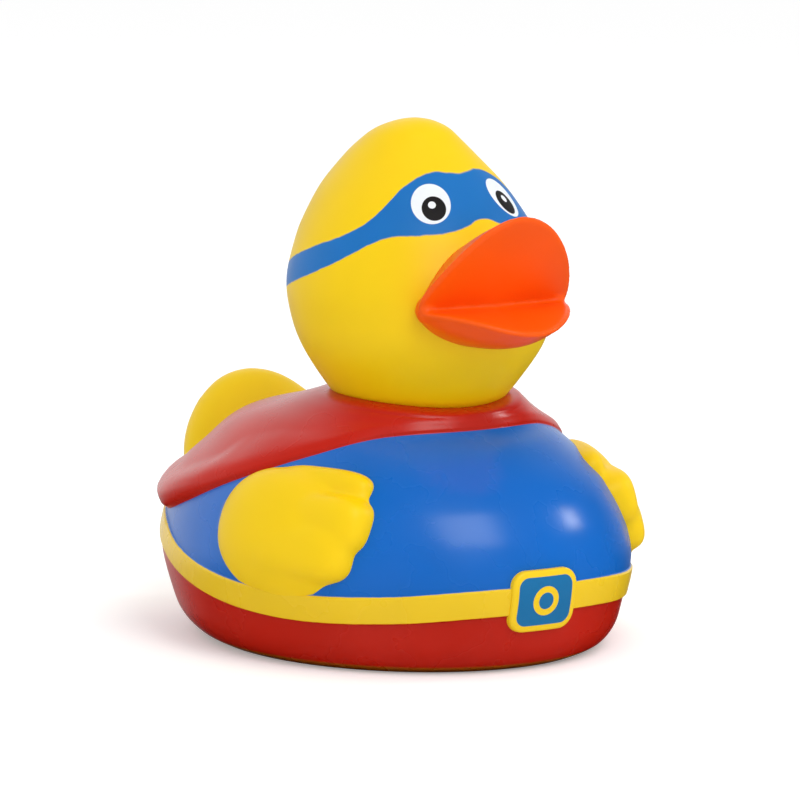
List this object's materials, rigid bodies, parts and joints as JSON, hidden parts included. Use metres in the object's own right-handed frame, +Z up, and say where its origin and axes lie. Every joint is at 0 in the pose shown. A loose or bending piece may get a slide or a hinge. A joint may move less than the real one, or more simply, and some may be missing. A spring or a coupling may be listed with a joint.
{
  "type": "rubber duck",
  "caption": "Hollow moulded vinyl bath duck with an open bill, mitten wings, an upturned tail and a moulded cape and belt, standing on a flat foot.",
  "frame": {"origin": "on the surface the duck stands on, under the middle of its length and width", "axes": "-Y the way the bill points, +X the duck's own left side, +Z up"},
  "size_m": [0.072, 0.0922, 0.0839],
  "materials": {
    "vinyl": "satin painted vinyl"
  },
  "bodies": {
    "root": {"duck_body": "vinyl"}
  },
  "joints": []
}
